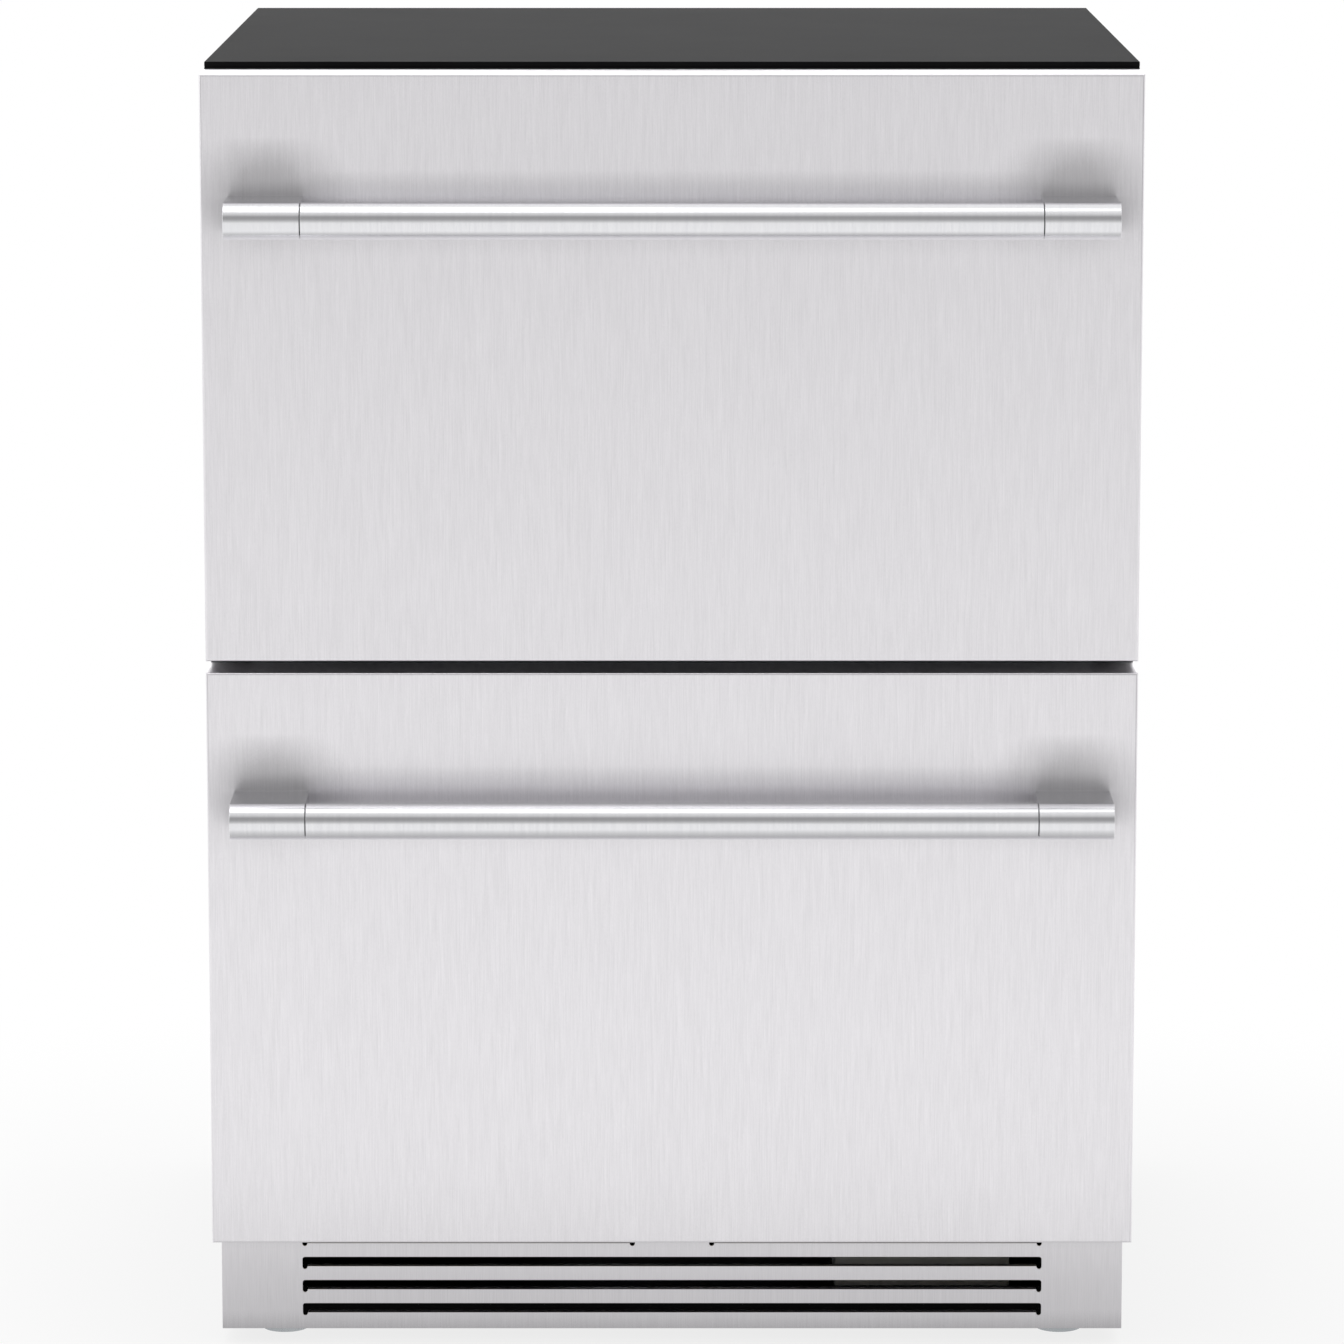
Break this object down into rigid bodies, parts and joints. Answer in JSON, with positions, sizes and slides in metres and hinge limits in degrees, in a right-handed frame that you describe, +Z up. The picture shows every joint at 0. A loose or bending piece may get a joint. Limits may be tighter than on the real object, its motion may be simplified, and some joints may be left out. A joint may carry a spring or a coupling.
{
  "type": "undercounter drawer refrigerator",
  "caption": "Undercounter refrigerator with two stacked full-width drawers, tubular bar handles on end brackets, a dark top panel and a slotted toe-kick grille.",
  "frame": {"origin": "on the floor, at the middle of the overall width and of the overall depth (handles to back)", "axes": "+Z up, +X to the right as seen from the front, and the drawer fronts face -Y"},
  "size_m": [0.605, 0.654, 0.864],
  "materials": {
    "stainless": "satin",
    "handle_steel": "satin",
    "dark_paint": "satin",
    "galvanised": "satin",
    "bright_zinc": "satin",
    "liner_plastic": "satin",
    "panel_plastic": "satin",
    "bin_plastic": "gloss",
    "black_plastic": "satin",
    "white_plastic": "satin",
    "touch_glass": "gloss",
    "gasket_rubber": "matte",
    "foam": "matte",
    "compressor_paint": "satin",
    "copper": "satin",
    "coil_aluminium": "satin",
    "coil_black": "satin",
    "zinc_steel": "satin"
  },
  "bodies": {
    "root": {"side_panel_left": "dark_paint", "side_panel_right": "dark_paint", "top_panel": "dark_paint", "back_panel": "galvanised", "base_pan": "dark_paint", "front_frame": "dark_paint", "divider_trim": "dark_paint", "upper_liner": "liner_plastic", "lower_liner": "liner_plastic", "cabinet_insulation": "foam", "toe_kick_grille": "stainless", "rear_cover": "galvanised", "compressor": "compressor_paint", "compressor_grommets": "gasket_rubber", "condenser_coil": "coil_black", "condenser_shroud": "black_plastic", "condenser_fan_motor": "zinc_steel", "drip_tray": "black_plastic", "drain_tube": "white_plastic", "filter_drier": "copper", "refrigerant_lines": "copper", "evaporator_coil": "coil_aluminium", "evaporator_cover": "panel_plastic", "evaporator_fan_motor": "white_plastic", "lower_duct_cover": "panel_plastic", "control_board": "white_plastic", "control_panel": "touch_glass", "led_lamps": "white_plastic", "temperature_sensors": "white_plastic", "power_inlet": "black_plastic", "upper_slide_outer": "bright_zinc", "lower_slide_outer": "bright_zinc"},
    "upper_drawer": {"upper_front_skin": "stainless", "upper_front_foam": "foam", "upper_front_inner": "panel_plastic", "upper_gasket": "gasket_rubber", "upper_handle_bar": "handle_steel", "upper_handle_brackets": "handle_steel", "upper_handle_screws": "zinc_steel", "upper_drawer_frame": "bright_zinc", "upper_bin": "bin_plastic", "upper_slide_inner": "bright_zinc"},
    "upper_slides": {"upper_slide_middle": "bright_zinc"},
    "lower_drawer": {"lower_front_skin": "stainless", "lower_front_foam": "foam", "lower_front_inner": "panel_plastic", "lower_gasket": "gasket_rubber", "lower_handle_bar": "handle_steel", "lower_handle_brackets": "handle_steel", "lower_handle_screws": "zinc_steel", "lower_drawer_frame": "bright_zinc", "lower_bin": "bin_plastic", "lower_slide_inner": "bright_zinc"},
    "lower_slides": {"lower_slide_middle": "bright_zinc"},
    "condenser_fan": {"condenser_fan": "black_plastic"},
    "evaporator_fan": {"evaporator_fan": "white_plastic"},
    "leg_front_left": {"leg_front_left": "zinc_steel"},
    "leg_front_right": {"leg_front_right": "zinc_steel"},
    "leg_rear_left": {"leg_rear_left": "zinc_steel"},
    "leg_rear_right": {"leg_rear_right": "zinc_steel"}
  },
  "joints": [
    {"name": "upper_drawer_slide", "type": "slide", "parent": "root", "child": "upper_drawer", "axis": [0, -1, 0], "range_m": [0, 0.4]},
    {"name": "upper_middle_slide", "type": "slide", "parent": "root", "child": "upper_slides", "axis": [0, -1, 0], "range_m": [0, 0.2]},
    {"name": "lower_drawer_slide", "type": "slide", "parent": "root", "child": "lower_drawer", "axis": [0, -1, 0], "range_m": [0, 0.4]},
    {"name": "lower_middle_slide", "type": "slide", "parent": "root", "child": "lower_slides", "axis": [0, -1, 0], "range_m": [0, 0.2]},
    {"name": "condenser_fan_spin", "type": "hinge", "parent": "root", "child": "condenser_fan", "pos_m": [-0.1825, 0.2015, 0.0846], "axis": [0, 1, 0], "continuous": true},
    {"name": "evaporator_fan_spin", "type": "hinge", "parent": "root", "child": "evaporator_fan", "pos_m": [0, 0.226, 0.756], "axis": [0, 1, 0], "continuous": true},
    {"name": "leg_front_left_screw", "type": "slide", "parent": "root", "child": "leg_front_left", "axis": [0, 0, -1], "range_m": [0, 0.02]},
    {"name": "leg_front_right_screw", "type": "slide", "parent": "root", "child": "leg_front_right", "axis": [0, 0, -1], "range_m": [0, 0.02]},
    {"name": "leg_rear_left_screw", "type": "slide", "parent": "root", "child": "leg_rear_left", "axis": [0, 0, -1], "range_m": [0, 0.02]},
    {"name": "leg_rear_right_screw", "type": "slide", "parent": "root", "child": "leg_rear_right", "axis": [0, 0, -1], "range_m": [0, 0.02]}
  ],
  "couplings": [
    {"joint": "upper_middle_slide", "follows": "upper_drawer_slide", "ratio": 0.5},
    {"joint": "lower_middle_slide", "follows": "lower_drawer_slide", "ratio": 0.5}
  ]
}
